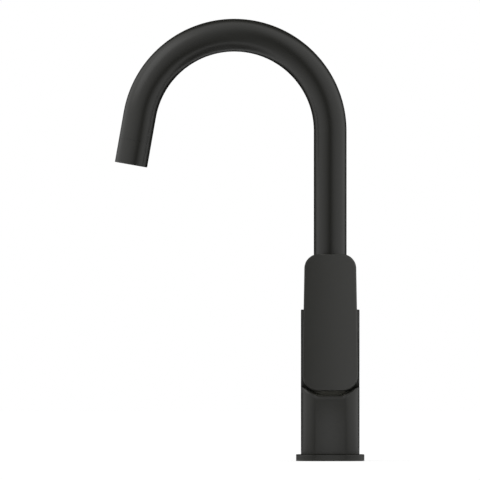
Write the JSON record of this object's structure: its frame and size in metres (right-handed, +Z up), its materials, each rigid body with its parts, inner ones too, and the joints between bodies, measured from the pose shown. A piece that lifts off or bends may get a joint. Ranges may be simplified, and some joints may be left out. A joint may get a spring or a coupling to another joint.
{
  "type": "bathroom sink faucet",
  "caption": "Tall single-lever basin mixer: soft-square body, flat front lever that turns and lifts, round swivelling gooseneck spout with an aerator.",
  "frame": {"origin": "centre of the base's underside, on the deck, where the axis of the stud hole and of the spout's swivel meets it", "axes": "+Z up along the spout's riser, -X from the riser to the outlet with the spout at rest, -Y out of the front that holds the lever"},
  "size_m": [0.1747, 0.0478, 0.3098],
  "materials": {
    "matt_black": "matte",
    "black_plastic": "satin",
    "grey_plastic": "satin",
    "black_rubber": "matte",
    "brass": "satin",
    "steel": "satin",
    "ceramic": "polished"
  },
  "bodies": {
    "mixer_body": {"body": "matt_black", "base_flange": "matt_black", "base_gasket": "black_rubber", "cartridge_base": "grey_plastic", "port_seals": "black_rubber", "disc_seals": "black_rubber", "fixed_disc": "ceramic", "cartridge_housing": "grey_plastic", "cartridge_nut": "brass", "slide_ring": "black_plastic", "spout_screw": "steel"},
    "cartridge_core": {"stem_carrier": "brass", "stem_pin": "steel"},
    "handle": {"stem": "brass", "lever": "matt_black", "lever_screw": "steel"},
    "disc_slider": {"moving_disc": "ceramic", "disc_driver": "grey_plastic"},
    "spout": {"spout_tube": "matt_black", "spout_foot": "brass", "spout_seals": "black_rubber", "outlet_sleeve": "matt_black", "sleeve_seal": "black_rubber", "aerator_gasket": "black_rubber", "aerator_housing": "grey_plastic", "flow_regulator": "grey_plastic", "aerator_screen": "steel", "aerator_grid": "black_plastic"}
  },
  "joints": [
    {"name": "lever_turn", "type": "hinge", "parent": "mixer_body", "child": "cartridge_core", "pos_m": [0, -0.007, 0.073], "axis": [0, 1, 0], "range_deg": [-45, 45]},
    {"name": "lever_lift", "type": "hinge", "parent": "cartridge_core", "child": "handle", "pos_m": [0, -0.007, 0.073], "axis": [1, 0, 0], "range_deg": [0, 20]},
    {"name": "disc_slide", "type": "slide", "parent": "cartridge_core", "child": "disc_slider", "axis": [0, 0, 1], "range_m": [0, 0.003]},
    {"name": "spout_swivel", "type": "hinge", "parent": "mixer_body", "child": "spout", "pos_m": [0, 0, 0.1018], "axis": [0, 0, 1], "range_deg": [-75, 75]}
  ],
  "couplings": [
    {"joint": "disc_slide", "follows": "lever_lift", "m_per_rad": 0.0085244}
  ]
}
